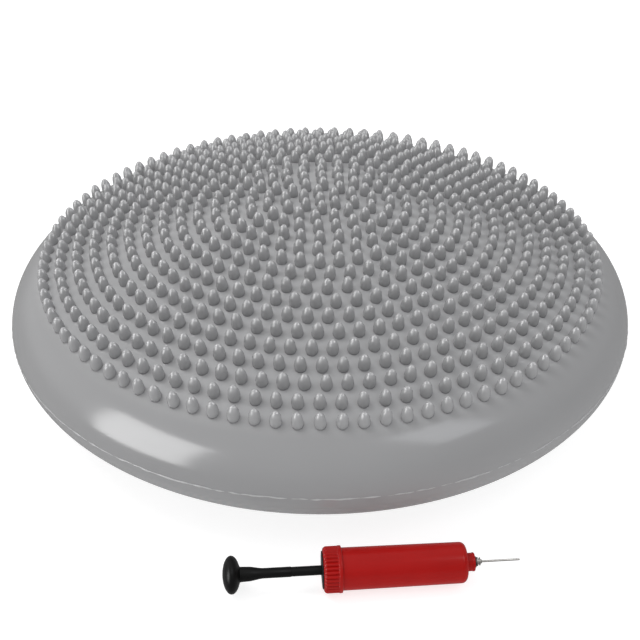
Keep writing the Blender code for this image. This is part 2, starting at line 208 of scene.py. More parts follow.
class Finish:
    """One material: its Principled shader and the nodes that feed it."""

    def __init__(self, name, **settings):
        self.material = bpy.data.materials.new(name)
        self.material.use_nodes = True
        self.tree = self.material.node_tree
        self.shader = self.tree.nodes["Principled BSDF"]
        for label, value in settings.items():
            self.feed(self.shader.inputs[label.replace("_", " ")], value)

    def feed(self, socket, value):
        if isinstance(value, Signal):
            self.tree.links.new(value.socket, socket)
        else:
            socket.default_value = value

    def node(self, kind, settings, inputs):
        """Adds a node: first its own settings, and then values or signals as inputs."""
        node = self.tree.nodes.new("ShaderNode" + kind)
        for label, value in settings.items():
            setattr(node, label, value)
        for key, value in inputs.items():
            self.feed(node.inputs[key], value)
        return node

    def place(self, stretch=(1, 1, 1), turn=(0, 0, 0), centre=(0, 0, 0)):
        """Object coordinates, moved, turned and stretched."""
        here = self.node("TexCoord", {}, {}).outputs["Object"]
        settings = {"vector_type": "TEXTURE"}
        inputs = {"Vector": Signal(self, here), "Location": centre, "Rotation": turn}
        inner = self.node("Mapping", settings, inputs)
        inputs = {"Vector": Signal(self, inner.outputs[0]), "Scale": stretch}
        return Signal(self, self.node("Mapping", {}, inputs).outputs[0])

    def noise(self, place, scale, detail=2.0):
        inputs = {"Vector": place, "Scale": scale, "Detail": detail}
        return Signal(self, self.node("TexNoise", {}, inputs).outputs[0])

    def step(self, signal, start, end):
        """0 below start, 1 above end, and smooth in between."""
        inputs = {"Value": signal, "From Min": start, "From Max": end}
        node = self.node("MapRange", {"interpolation_type": "SMOOTHSTEP"}, inputs)
        return Signal(self, node.outputs[0])

    def mix(self, share, first, second):
        """A colour between two others."""
        node = self.node("Mix", {"data_type": "RGBA"}, {0: share, 6: first, 7: second})
        return Signal(self, node.outputs[2])

    def parts_of(self, output):
        """Three signals: the x, y and z of a place in these coordinates."""
        here = self.node("TexCoord", {}, {}).outputs[output]
        parts = self.node("SeparateXYZ", {}, {0: Signal(self, here)})
        return [Signal(self, socket) for socket in parts.outputs]

    def bump(self, height, depth):
        """Makes the surface look raised by height times depth, in metres."""
        node = self.node("Bump", {}, {"Height": height, "Distance": depth, "Strength": 1.0})
        self.feed(self.shader.inputs["Normal"], Signal(self, node.outputs[0]))

    def paint(self, **signals):
        for label, value in signals.items():
            self.feed(self.shader.inputs[label.replace("_", " ")], value)


class Sky(Finish):
    """The same helper for the world's background."""

    def __init__(self, name):
        self.world = bpy.data.worlds.new(name)
        self.world.use_nodes = True
        self.tree = self.world.node_tree
        self.shader = self.tree.nodes["Background"]


def shade(colour, factor):
    return (*(channel * factor for channel in colour), 1)


print("shader helpers ready")

# %% [markdown]
# ## Room light
# The room is pale, brighter on the left where its window is, and darker towards the ground. Its
# light comes from all round and gives the cushion its soft shading. A direction in the world is
# a point on a ball of radius one, so its parts say how far it points right, back and up.

# %% Light the room
GROUND_LIGHT = 0.3


def light_room():
    sky = Sky("studio")
    right, back, up = sky.parts_of("Generated")
    wall = 0.45 - right * 0.23 + back * 0.14 + up * 0.33
    share = sky.step(up, -0.12, 0.22)
    sky.paint(Strength=GROUND_LIGHT + share * (wall - GROUND_LIGHT), Color=(*WHITE, 1))
    bpy.context.scene.world = sky.world
    bpy.context.scene.view_settings.view_transform = "Standard"


light_room()
print("world:", bpy.context.scene.world.name)

# %% [markdown]
# ## The grey vinyl
# Soft vinyl is poured into a polished mould. It comes out in one even grey with a satin gloss,
# and a close look finds faint clouds where the paste was thicker and a very fine grain. The dome
# among the nubs is painted a shade paler than the rim: painted light against the shade there.
# The nubs are painted paler than the skin as well, their tips lighter still with a painted
# highlight and their roots darker with painted shade. How far a point stands above the dome
# tells tip from root, so the dome's own formula is repeated here as a shader sum.

# %% Mix the vinyl
GREY = (0.335, 0.335, 0.34)


def crown_terms():
    """The dome's height at the field's edge, and the two terms that lift it towards the middle."""
    share = (FIELD_RADIUS - RIM_CENTRE) / RIM_REACH
    root = math.sqrt(1 - share**2)
    edge_height = RIM_RISE * root
    edge_slope = RIM_RISE / RIM_REACH * share / root
    rise = CROWN_HEIGHT - edge_height
    quartic = (edge_slope * FIELD_RADIUS - 2 * rise) / 2
    return edge_height, rise - quartic, quartic


def height_above_dome(finish):
    """A signal: how far the surface stands above the smooth dome, as a share of a nub's height."""
    edge_height, square, quartic = crown_terms()
    x, y, z = finish.parts_of("Object")
    u2 = (x * x + y * y) * (1 / FIELD_RADIUS**2)
    dome = SEAM + edge_height + (1 - u2) * square + (1 - u2 * u2) * quartic
    return (z - dome) * (1 / NUB_HEIGHT)


def field_share(finish):
    """A signal: 1 on the dome among the nubs, 0 on the smooth rim and on the underside."""
    x, y, z = finish.parts_of("Object")
    away = (x * x + y * y) ** 0.5
    inside = 1 - finish.step(away, FIELD_RADIUS - 1 * MM, FIELD_RADIUS + 7 * MM)
    return inside * finish.step(z, SEAM, SEAM + 8 * MM)


def bare_vinyl(name, roughness):
    """Satin vinyl without its colour yet, and two patterns for that: clouds and streaks."""
    finish = Finish(name, Roughness=roughness, IOR=1.5)
    place = finish.place()
    cloud = finish.noise(place, scale=22, detail=4)
    streak = finish.noise(finish.place(stretch=(1, 1, 5)), scale=60, detail=3)
    grain = finish.noise(place, scale=1400)
    finish.paint(Roughness=roughness - 0.03 + cloud * 0.06)
    finish.bump(grain * 0.6 + streak * 0.4, 0.03 * MM)
    return finish, cloud, streak


def plain_vinyl(name, colour, roughness):
    finish, cloud, streak = bare_vinyl(name, roughness)
    clouds = cloud * 0.6 + streak * 0.4
    finish.paint(Base_Color=finish.mix(clouds, shade(colour, 0.95), shade(colour, 1.05)))
    return finish


def skin_vinyl(name, colour, roughness):
    """The same vinyl, painted paler on the dome among the nubs: painted light against their shade.
    """
    finish, cloud, _ = bare_vinyl(name, roughness)
    even = finish.mix(cloud, shade(colour, 0.96), shade(colour, 1.04))
    # Painted light: the dome among the nubs is mixed towards a paler grey.
    painted_dome_light = field_share(finish) * (0.75 + finish.noise(finish.place(), scale=180, detail=3) * 0.5)
    finish.paint(Base_Color=finish.mix(painted_dome_light, even, shade(colour, 1.2)))
    return finish


def nub_vinyl(name, colour, roughness):
    """The same vinyl painted paler, with a painted highlight on the tips and painted shade at the
    roots.
    """
    finish, cloud, _ = bare_vinyl(name, roughness)
    lift = height_above_dome(finish)
    # Painted shade: the roots are darkened where the nubs shade each other and the dome.
    root = 1 - finish.step(lift, 0.0, 0.4)
    # Painted highlight: the tips are mixed towards a much paler grey.
    tip = finish.step(lift, 0.7, 1.0)
    # Painted light: the whole nub is painted paler than the skin to offset its shade.
    even = finish.mix(cloud, shade(colour, 1.12), shade(colour, 1.22))
    with_painted_root_shade = finish.mix(root * 0.4, even, shade(colour, 0.9))
    finish.paint(Base_Color=finish.mix(tip * 0.35, with_painted_root_shade, shade(colour, 1.5)))
    return finish


SKIN_FINISH = skin_vinyl("grey_vinyl", GREY, 0.17)
NUB_FINISH = nub_vinyl("grey_vinyl_nubs", GREY, 0.18)
# Painted highlight: the seam bead is painted half again paler than the skin, for the light its top
# catches.
SEAM_FINISH = plain_vinyl("seam_vinyl", tuple(channel * 1.5 for channel in GREY), 0.3)
VALVE_FINISH = plain_vinyl("valve_vinyl", (0.2, 0.2, 0.21), 0.35)
print("vinyl finishes:", SKIN_FINISH.material.name, NUB_FINISH.material.name)

# %% [markdown]
# ## Lathe work
# Nearly every piece here is round, so one helper does most of the modelling. It draws an
# outline as a chain of vertices and edges, and lets the spin operator sweep it round an axis.
# Points on the axis meet in a pole, so doubles are merged, and then the normals are made to
# point outwards.

# %% The lathe and the bench
ALONG_X = (1, 0, 0)
ALONG_Z = (0, 0, 1)


def lathe(outline, axis=ALONG_Z, steps=96, is_ring=False):
    """A bmesh of the outline, which lies in the XZ plane, swept once round the axis."""
    bm = bmesh.new()
    points = [bm.verts.new((x, 0, z)) for x, z in outline]
    edges = [bm.edges.new(pair) for pair in zip(points, points[1:])]
    if is_ring:
        edges.append(bm.edges.new((points[-1], points[0])))
    bmesh.ops.spin(
        bm,
        geom=points + edges,
        cent=(0, 0, 0),
        axis=axis,
        angle=math.tau,
        steps=steps,
        use_merge=True,
    )
    bmesh.ops.remove_doubles(bm, verts=bm.verts, dist=0.001 * MM)
    bmesh.ops.recalc_face_normals(bm, faces=bm.faces)
    return bm


def piece(name, bm, finish, body, replaces=(), place=None, crease=40):
    """Turns a bmesh into a finished piece that rides on a body."""
    mesh = bpy.data.meshes.new(name)
    bm.to_mesh(mesh)
    bm.free()
    if place is not None:
        mesh.transform(place)
    mesh.materials.append(finish.material)
    mesh.shade_smooth()
    mesh.set_sharp_from_angle(angle=math.radians(crease))
    made = bpy.data.objects.new(name, mesh)
    bpy.context.collection.objects.link(made)
    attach(made, body)
    if replaces:
        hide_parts(*replaces)
    print(f"{name}: {len(mesh.polygons)} faces")
    return made


def arc(centre_x, centre_z, radius, start, end, steps):
    """Points along a round corner, angles in degrees from +X towards +Z."""
    angles = [math.radians(start + (end - start) * i / steps) for i in range(steps + 1)]
    return [(centre_x + radius * math.cos(a), centre_z + radius * math.sin(a)) for a in angles]


print("lathe ready")

# %% [markdown]
# ## The cushion's outline
# The rim is a quarter of an ellipse above the seam and a flatter one below. The crown is a
# polynomial that meets the upper ellipse without a kink, and the underside runs out in a
# shallow curve to a flat foot. Each function takes an inset as well, which gives the inner face
# of the vinyl.

# %% Outline functions
def rim_point(angle, height, inset=0.0):
    """A point on the rim's elliptical curve, at this angle above the seam, set in by `inset`."""
    x = RIM_REACH * math.cos(angle)
    z = height * math.sin(angle)
    normal = Vector((x / RIM_REACH**2, z / height**2)).normalized()
    return RIM_CENTRE + x - inset * normal.x, z - inset * normal.y


def top_point(radius, inset=0.0):
    """A point on the crown above this radius, from the seam, set in by `inset`."""
    edge_height, square, quartic = crown_terms()
    u = radius / FIELD_RADIUS
    height = edge_height + square * (1 - u**2) + quartic * (1 - u**4)
    slope = -(2 * square * u + 4 * quartic * u**3) / FIELD_RADIUS
    normal = Vector((-slope, 1)).normalized()
    return radius - inset * normal.x, height - inset * normal.y


def belly_point(share, inset=0.0):
    """A point on the belly, from the foot's edge (0) to the rim's curve (1)."""
    end_slope = RIM_DROP / RIM_REACH * FOOT_BLEND / math.sqrt(1 - FOOT_BLEND**2)
    reach = RIM_CENTRE + FOOT_BLEND * RIM_REACH - FOOT_RADIUS
    run = share * reach
    height = -SEAM + end_slope * share * run / 2
    normal = Vector((end_slope * share, -1)).normalized()
    return FOOT_RADIUS + run - inset * normal.x, height - inset * normal.y


FIELD_ANGLE = math.acos((FIELD_RADIUS - RIM_CENTRE) / RIM_REACH)
BELLY_ANGLE = math.acos(FOOT_BLEND)
print("crown height at the field's edge:", round(top_point(FIELD_RADIUS)[1], 4))

# %% [markdown]
# ## Upper skin
# One spin makes the whole upper membrane: out over the crown, round the rim to the seam, across
# the weld, and back along the inner face. When somebody stands on the cushion the top sinks
# while the weld stays put. The skin rides on the base and gets a mesh of its own.

# %% Turn the upper skin
SKIN_STEPS = 240


def sink(soft_piece):
    """Gives the piece a mesh of its own."""
    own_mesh(soft_piece)


def upper_outline():
    crown_steps, rim_steps, inner_steps = 26, 22, 9
    outline = [top_point(FIELD_RADIUS * i / crown_steps) for i in range(crown_steps + 1)]
    for i in range(1, rim_steps):
        outline.append(rim_point(FIELD_ANGLE * (1 - i / rim_steps), RIM_RISE))
    outline += [(RIM_RADIUS, 0), (RIM_RADIUS - SKIN, 0)]
    for i in range(1, inner_steps):
        outline.append(rim_point(FIELD_ANGLE * i / inner_steps, RIM_RISE, SKIN))
    for i in range(inner_steps + 1):
        outline.append(top_point(FIELD_RADIUS * (1 - i / inner_steps), SKIN))
    return [(max(radius, 0), height + SEAM) for radius, height in outline]


upper = piece(
    "upper_membrane",
    lathe(upper_outline(), steps=SKIN_STEPS),
    SKIN_FINISH,
    "cushion_base",
    replaces=("upper_skin",),
)
sink(upper)

# %% [markdown]
# ## Nubs
# The nubs stand in sixteen rings round one in the middle, and each ring has six more than the
# one inside it. A nub is egg-shaped: a little waist at the root, full in the lower third, and
# drawn in to a small blunt tip. One is turned on the lathe with few faces, because there are
# eight hundred of them. Copies stand nearly upright on the dome, each a touch out of true, as
# moulded ones are. Each ring is turned by an amount of its own, a share of the step from nub to
# nub, so that the nubs don't line up in rows from the middle outwards. Two side lamps are
# mirrored in the nubs alone, and put two sparks near every tip.

# %% Turn one nub and plant the field
NUB_RADIUS = 2.9 * MM
NUB_SWELL = 1.3 * MM
NUB_FOOT = 0.5 * MM
NUB_LEAN = 0.4
NUB_SIDES = 10
RING_TURNS = (0, 0.1, -0.2, -0.1, 0, -0.1, 0, -0.5, -0.65, -0.2, -0.6, -0.1, -0.4, 0.1, 0.3, 0, 0)
FRONT = -math.pi / 2
NUB_SEED = 7
OUTWARD_DRIFT = 0.15 * MM
SIDEWAYS_DRIFT = 0.2 * MM
LEAN_SPREAD = 0.03
WIDTH_SPREAD = 0.025
HEIGHT_SPREAD = 0.02


def nub_outline():
    """Half an egg with a blunt tip, widest a little above a foot that is hidden in the skin."""
    outline = [(0, -NUB_FOOT), (NUB_RADIUS * 0.92, -NUB_FOOT), (NUB_RADIUS * 0.95, 0.4 * MM)]
    for angle in (0, 30, 52, 68, 80):
        turn = math.radians(angle)
        height = NUB_SWELL + (NUB_HEIGHT - NUB_SWELL) * math.sin(turn)
        outline.append((NUB_RADIUS * math.cos(turn), height))
    return outline + [(0, NUB_HEIGHT)]


def nubs_in(ring):
    return max(NUBS_PER_RING * ring, 1)


def nub_matrix(ring, index, chance):
    """Where one nub goes, with a slight lean and size of its own."""
    radius = ring * RING_PITCH + chance.uniform(-OUTWARD_DRIFT, OUTWARD_DRIFT)
    angle = FRONT + math.tau * (index + RING_TURNS[ring]) / nubs_in(ring)
    angle += chance.uniform(-SIDEWAYS_DRIFT, SIDEWAYS_DRIFT) / max(radius, RING_PITCH)
    foot = Vector((*top_point(radius), 0)).xzy
    square = (Vector((*top_point(radius, -1.0), 0)).xzy - foot).normalized()
    standing = Vector((0, 0, 1)).lerp(square, NUB_LEAN)
    upright = standing.to_track_quat("Z", "Y").to_matrix().to_4x4()
    lean = Matrix.Rotation(chance.gauss(0, LEAN_SPREAD), 4, "X")
    lean = lean @ Matrix.Rotation(chance.gauss(0, LEAN_SPREAD), 4, "Y")
    widths = [chance.gauss(1, WIDTH_SPREAD) for _ in range(2)]
    size = Matrix.Diagonal((*widths, chance.gauss(1, HEIGHT_SPREAD), 1))
    place = Matrix.Translation(foot + Vector((0, 0, SEAM)))
    return Matrix.Rotation(angle, 4, "Z") @ place @ upright @ lean @ size


def nub_field():
    one = bpy.data.meshes.new("one_nub")
    bm = lathe(nub_outline(), steps=NUB_SIDES)
    bm.to_mesh(one)
    bm.free()
    chance = random.Random(NUB_SEED)
    field = bmesh.new()
    for ring in range(RINGS + 1):
        for index in range(nubs_in(ring)):
            copy = one.copy()
            copy.transform(nub_matrix(ring, index, chance))
            field.from_mesh(copy)
            bpy.data.meshes.remove(copy)
    bpy.data.meshes.remove(one)
    return field


UNCREASED = 180
nubs = piece("nub_field", nub_field(), NUB_FINISH, "cushion_base", crease=UNCREASED)
sink(nubs)


def spark_lamp(name, azimuth, radiance):
    """A softbox that is only mirrored, and only in the nubs."""
    lamp = softbox(name, azimuth, 42, LAMP_DISTANCE, width=0.95, height=0.95, radiance=radiance)
    lamp.visible_diffuse = False
    alone = bpy.data.collections.new(name + "_pieces")
    alone.objects.link(nubs)
    lamp.light_linking.receiver_collection = alone


spark_lamp("spark_left", -92, 8.0)
spark_lamp("spark_right", 88, 6.5)

# %% [markdown]
# ## Lower skin
# The underside is plain, so that the cushion rocks smoothly on it: the lower half of the rim, a
# shallow belly and a flat foot. The valve needs a hole in the back of the rim. A Boolean with a
# turned plug cuts it.

# %% Turn the lower skin and cut the valve hole
VALVE_ANGLE = math.radians(35)
VALVE_RADIUS = 6 * MM
VALVE_STEPS = 64


def valve_matrix():
    """Turns +X into the direction that leads out of the skin at the valve."""
    reach, height = rim_point(-VALVE_ANGLE, RIM_DROP)
    inner, deeper = rim_point(-VALVE_ANGLE, RIM_DROP, 1.0)
    normal = Vector((0, reach - inner, height - deeper))
    turn = normal.to_track_quat("X", "Z").to_matrix().to_4x4()
    return Matrix.Translation((0, reach, SEAM + height)) @ turn


def lower_outline():
    rim_steps, belly_steps, inner_steps = 20, 14, 7
    outline = [(RIM_RADIUS, 0)]
    outline += [rim_point(-BELLY_ANGLE * i / rim_steps, RIM_DROP) for i in range(1, rim_steps + 1)]
    outline += [belly_point(1 - i / belly_steps) for i in range(1, belly_steps + 1)]
    outline += [(0, -SEAM), (0, SKIN - SEAM)]
    outline += [belly_point(i / inner_steps, SKIN) for i in range(inner_steps + 1)]
    for i in range(1, inner_steps):
        outline.append(rim_point(-BELLY_ANGLE * (1 - i / inner_steps), RIM_DROP, SKIN))
    outline += [(RIM_RADIUS - SKIN, 0)]
    return [(max(radius, 0), height + SEAM) for radius, height in outline]


lower = piece(
    "lower_membrane",
    lathe(lower_outline(), steps=SKIN_STEPS, is_ring=True),
    SKIN_FINISH,
    "cushion_base",
    replaces=("lower_skin",),
)


def cut_valve_hole(skin):
    """Cuts the hole with a turned plug, applies the cut and throws the plug away."""
    reach, hole = SKIN + 3 * MM, VALVE_RADIUS + 0.25 * MM
    outline = [(-reach, 0), (-reach, hole), (reach, hole), (reach, 0)]
    bm = lathe(outline, ALONG_X, VALVE_STEPS)
    plug_mesh = bpy.data.meshes.new("plug")
    bm.to_mesh(plug_mesh)
    bm.free()
    plug_mesh.transform(valve_matrix())
    plug = bpy.data.objects.new("plug", plug_mesh)
    bpy.context.collection.objects.link(plug)
    cut = skin.modifiers.new("valve_hole", "BOOLEAN")
    cut.object = plug
    cut.solver = "EXACT"
    graph = bpy.context.evaluated_depsgraph_get()
    whole = bpy.data.meshes.new_from_object(skin.evaluated_get(graph))
    skin.modifiers.clear()
    skin.data = whole
    bpy.data.objects.remove(plug)
    print("after the cut:", len(whole.polygons), "faces")


cut_valve_hole(lower)

# %% [markdown]
# ## Weld seam
# Where the two halves of the mould meet, a hair of vinyl squeezes out and is trimmed off by
# hand. What is left is a thin bead, here proud and there almost gone. It is a turned ring whose
# section swells and shrinks with a noise that runs round the rim.

# %% Turn the seam bead and roughen it
BEAD = 0.38 * MM
BEAD_STEPS = 900


def seam_bead():
    centre = Vector((RIM_RADIUS - 0.12 * MM, SEAM))
    outline = arc(centre.x, centre.y, BEAD, 0, 315, 7)
    bm = lathe(outline, steps=BEAD_STEPS, is_ring=True)
    for vertex in bm.verts:
        angle = math.atan2(vertex.co.y, vertex.co.x)
        around = Vector((math.cos(angle), math.sin(angle), 0))
        middle = around * centre.x + Vector((0, 0, centre.y))
        slow = noise.noise(around * 9)
        quick = noise.noise(around * 55)
        swell = max(0.25, 0.75 + 0.8 * slow + 0.9 * quick)
        wander = 0.3 * noise.noise(around * 6) + 0.4 * noise.noise(around * 32)
        drift = Vector((0, 0, wander * MM))
        vertex.co = middle + (vertex.co - middle) * swell + drift
    return bm


piece("seam_bead", seam_bead(), SEAM_FINISH, "cushion_base")

# %% [markdown]
# ## Valve
# The pump's needle goes in through a rubber core, which closes again by itself when the needle
# comes out. The core sits in a moulded seat that is welded to the skin, so from outside there
# is a round button with a dimple. Both are lathe work round the same slanting line, and the
# outline keeps the working model's sizes with softer edges.

# %% Turn the valve
def valve_seat_outline():
    mouth, edge = -0.5 * MM, 0.4 * MM
    pocket, pocket_floor = 4.5 * MM, -2.6 * MM
    flange, flange_front, flange_back = 8.5 * MM, -6.4 * MM, -7.9 * MM
    sleeve, bore, sleeve_end = 5 * MM, 3.3 * MM, -14 * MM
    return [
        (mouth, pocket),
        *arc(mouth - edge, VALVE_RADIUS - edge, edge, 0, 90, 4),
        (flange_front, VALVE_RADIUS),
        (flange_front, flange),
        (flange_back, flange),
        (flange_back, sleeve),
        (sleeve_end, sleeve),
        (sleeve_end, bore),
        (pocket_floor, bore),
        (pocket_floor, pocket),
    ]


def valve_core_outline():
    top, edge, dimple = -1.0 * MM, 0.3 * MM, 1.4 * MM
    head, head_back = 4.2 * MM, -2.3 * MM
    needle_way, way_end, core_end = 0.5 * MM, -10 * MM, -15.5 * MM
    return [
        (way_end, 0),
        (way_end, needle_way),
        (top - 1.6 * MM, needle_way),
        *arc(top - dimple, 2.0 * MM, dimple, -90, 0, 5)[1:],
        *arc(top - edge, head - edge, edge, 0, 90, 3),
        (head_back, head),
        (head_back, 3 * MM),
        (core_end, 2.5 * MM),
        (core_end, 0),
    ]


def rubber(name, colour, roughness):
    """Dull moulded rubber with a bloom of fine dust."""
    finish = Finish(name, Roughness=roughness, IOR=1.5)
    place = finish.place()
    bloom = finish.noise(place, scale=300, detail=3)
    finish.paint(Base_Color=finish.mix(bloom, shade(colour, 0.7), shade(colour, 1.6)))
    finish.paint(Roughness=roughness - 0.08 + bloom * 0.16)
    finish.bump(finish.noise(place, scale=2500), 0.02 * MM)
    return finish


RUBBER_FINISH = rubber("black_rubber", (0.022, 0.022, 0.022), 0.62)
seat = lathe(valve_seat_outline(), ALONG_X, VALVE_STEPS, is_ring=True)
core = lathe(valve_core_outline(), ALONG_X, 48)
at_valve = valve_matrix()
piece("valve_button", seat, VALVE_FINISH, "cushion_base", ("valve_seat",), at_valve)
piece("valve_rubber", core, RUBBER_FINISH, "cushion_base", ("valve_core",), at_valve)

# %% [markdown]
# ## Pump finishes
# The barrel, cap and nozzle are one red, a glossy moulded plastic with faint flow lines along
# it. The handle and rod are black, a little duller and scratched lengthways by use. The needle
# is nickel plated. Patterns run along the pump, so their coordinates are turned to lie along
# its own line.

# %% Mix the plastics and the metal
AXES = {joint["name"]: joint["axis"] for joint in frame["joints"]}
STROKE = Vector(AXES["plunger_stroke"]).normalized()
CAP_BACK = -8.3 * MM
CAP_FRONT = -0.3 * MM


def middle_of(node):
    low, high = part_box(node)
    return (low + high) / 2


PUMP_TURN = math.atan2(STROKE.y, STROKE.x)
PUMP_PLACE = middle_of("pump_cap") - STROKE * (CAP_BACK + CAP_FRONT) / 2
PUMP_MATRIX = Matrix.Translation(PUMP_PLACE) @ Matrix.Rotation(PUMP_TURN, 4, "Z")


def along_pump(finish, stretch):
    return finish.place(stretch, turn=(0, 0, PUMP_TURN), centre=tuple(PUMP_PLACE))


def plastic(name, colour, roughness, scratches):
    """Moulded plastic with flow lines and scratches that run along the pump."""
    finish = Finish(name, Roughness=roughness, IOR=1.49, Specular_IOR_Level=0.2)
    along = along_pump(finish, stretch=(0.08, 1, 1))
    flow = finish.noise(along, scale=260, detail=3)
    scuff = finish.noise(along, scale=2600)
    cloud = finish.noise(finish.place(), scale=90)
    streaks = flow * 0.5 + cloud * 0.5
    finish.paint(Base_Color=finish.mix(streaks, shade(colour, 0.82), shade(colour, 1.18)))
    finish.paint(Roughness=roughness - 0.05 + cloud * 0.06 + scuff * scratches)
    finish.bump(scuff * 0.5 + flow * 0.5, 0.012 * MM)
    return finish


def plated_metal(name, colour, roughness):
    """Plated metal with the fine rings that turning leaves round it."""
    finish = Finish(name, Metallic=1.0, Roughness=roughness)
    rings = finish.noise(along_pump(finish, stretch=(1, 0.1, 0.1)), scale=5000)
    finish.paint(Base_Color=finish.mix(rings, shade(colour, 0.85), shade(colour, 1.1)))
    finish.paint(Roughness=roughness - 0.06 + rings * 0.12)
    finish.bump(rings, 0.005 * MM)
    return finish


RED_FINISH = plastic("red_plastic", (0.40, 0.006, 0.005), 0.24, 0.06)
BLACK_FINISH = plastic("black_plastic", (0.004, 0.004, 0.004), 0.34, 0.12)
METAL_FINISH = plated_metal("nickel", (0.62, 0.60, 0.57), 0.28)
print("pump lies at", [round(v, 4) for v in PUMP_PLACE])
print("pump turned", round(math.degrees(PUMP_TURN), 2))

# %% [markdown]
# ## Barrel and nozzle
# The barrel is drawn off a steel core, so it tapers slightly and its far end has a generous
# round corner. The neck that the cap screws on is thinner. The nozzle is a short end piece with
# a chamfered mouth. The barrel would be mirrored in the cushion's rim as a red smear, so
# mirrored rays pass it by.

# %% Turn the barrel and the nozzle
BARREL_RADIUS = 9.05 * MM
BARREL_LENGTH = 53.6 * MM
BARREL_BORE = 7.6 * MM
NECK_RADIUS = 8.5 * MM
SEAT_FACE = 49.6 * MM


def barrel_outline():
    corner, edge, shoulder = 2.6 * MM, 0.12 * MM, CAP_FRONT + 0.02 * MM
    end_radius = BARREL_RADIUS - 0.3 * MM
    mouth, chamfer = -6.5 * MM, 0.3 * MM
    recess_floor = BARREL_LENGTH - 0.15 * MM
    socket, socket_floor, air_hole = 3 * MM, SEAT_FACE + 1.2 * MM, 0.7 * MM
    return [
        (mouth, BARREL_BORE),
        (mouth, NECK_RADIUS - chamfer),
        (mouth + chamfer, NECK_RADIUS),
        (shoulder, NECK_RADIUS),
        *arc(shoulder + edge, BARREL_RADIUS - edge, edge, 180, 90, 4),
        *arc(BARREL_LENGTH - corner, end_radius - corner, corner, 90, 0, 10),
        (BARREL_LENGTH, 4.6 * MM),
        (recess_floor, 4.4 * MM),
        (recess_floor, socket),
        (socket_floor, socket),
        (socket_floor, air_hole),
        (SEAT_FACE, air_hole),
        (SEAT_FACE, BARREL_BORE),
    ]


def nozzle_outline():
    plug_end, plug, air_hole = BARREL_LENGTH - 1.7 * MM, 2.7 * MM, 0.6 * MM
    back, front = BARREL_LENGTH + 0.1 * MM, 57.2 * MM
    radius, edge = 3.9 * MM, 0.35 * MM
    collar = radius + 0.12 * MM
    needle_socket, socket_floor = 1.65 * MM, front - 2.6 * MM
    return [
        (plug_end, air_hole),
        (plug_end, plug),
        (back, plug),
        (back, radius - 0.15 * MM),
        (back + 0.15 * MM, radius),
        (front - 1.1 * MM, radius),
        (front - 1.0 * MM, collar),
        *arc(front - edge, collar - edge, edge, 90, 0, 4),
        (front, needle_socket),
        (socket_floor, needle_socket),
        (socket_floor, air_hole),
    ]


def pump_piece(name, outline, finish, body, node, steps, is_ring=True):
    bm = lathe(outline, ALONG_X, steps, is_ring)
    return piece(name, bm, finish, body, (node,), PUMP_MATRIX)


barrel = pump_piece("barrel", barrel_outline(), RED_FINISH, "pump", "pump_barrel", 128)
barrel.visible_glossy = False
pump_piece("nozzle", nozzle_outline(), RED_FINISH, "pump", "pump_nozzle", 64)

# %% [markdown]
# ## Ribbed cap
# Ribs give wet fingers a grip. The lathe can't make them, so the cap grows from one circle of
# edges: each extrude adds a row, and the row's points are moved in or out in step with the
# ribs. The ribs fade into a smooth band at the barrel's side and into the rounded shoulder at
# the handle's side.

# %% Grow the cap
CAP_RADIUS = 10.05 * MM
CAP_RIBS = 34
RIB_DEPTH = 0.7 * MM
POINTS_PER_RIB = 8


def cap_rows():
    """Distance along the pump, radius, and how deep the grooves are, for each row of points."""
    rib_radius = CAP_RADIUS - 0.15 * MM
    wall, bore, throat = 1.5 * MM, NECK_RADIUS + 0.3 * MM, 5.5 * MM
    band = CAP_FRONT - 1.5 * MM
    corner, corner_steps = 1.7 * MM, 6
    shoulder = arc(CAP_BACK + corner, rib_radius - corner, corner, 90, 180, corner_steps)
    return [
        (CAP_FRONT, bore, 0),
        (CAP_FRONT, CAP_RADIUS - 0.3 * MM, 0),
        (CAP_FRONT - 0.1 * MM, CAP_RADIUS - 0.1 * MM, 0),
        (CAP_FRONT - 0.3 * MM, CAP_RADIUS, 0),
        (band + 0.2 * MM, CAP_RADIUS, 0),
        (band, CAP_RADIUS - 0.1 * MM, 0),
        (band - 0.15 * MM, rib_radius, 0.6),
        (band - 0.4 * MM, rib_radius, 1),
        *((x, z, 1 - i / corner_steps) for i, (x, z) in enumerate(shoulder)),
        (CAP_BACK, throat, 0),
        (CAP_BACK + wall, throat, 0),
        (CAP_BACK + wall, bore, 0),
    ]


def set_row(points, row):
    """Lays the points on one row; every rib has a round back and a narrow groove beside it."""
    x, radius, groove = row
    count = len(points)
    for i, point in enumerate(points):
        angle = math.tau * i / count
        wave = 0.5 - 0.5 * math.cos(angle * CAP_RIBS)
        reach = radius - RIB_DEPTH * groove * wave**2
        point.co = (x, reach * math.sin(angle), reach * math.cos(angle))


def edges_among(vertices, edges):
    """Those of the edges that have both their ends among the vertices."""
    return [edge for edge in edges if all(end in vertices for end in edge.verts)]


def ribbed_cap():
    """Grows the rows one from another, and closes the last one onto the first."""
    bm = bmesh.new()
    count = CAP_RIBS * POINTS_PER_RIB
    first = bmesh.ops.create_circle(bm, segments=count, radius=CAP_RADIUS)["verts"]
    rows = cap_rows()
    set_row(first, rows[0])
    ring = list(first)
    edges = list(bm.edges)
    for row in rows[1:]:
        grown = bmesh.ops.extrude_edge_only(bm, edges=edges)["geom"]
        made = [item for item in grown if isinstance(item, bmesh.types.BMVert)]
        edges = edges_among(made, (item for item in grown if isinstance(item, bmesh.types.BMEdge)))
        partner = {}
        for vertex in made:
            others = (edge.other_vert(vertex) for edge in vertex.link_edges)
            partner[next(other for other in others if other not in made)] = vertex
        ring = [partner[vertex] for vertex in ring]
        set_row(ring, row)
    bmesh.ops.bridge_loops(bm, edges=edges + edges_among(first, bm.edges))
    bmesh.ops.recalc_face_normals(bm, faces=bm.faces)
    return bm


CAP_CREASE = 50
cap = ribbed_cap()
piece("cap", cap, RED_FINISH, "pump", ("pump_cap",), PUMP_MATRIX, CAP_CREASE)


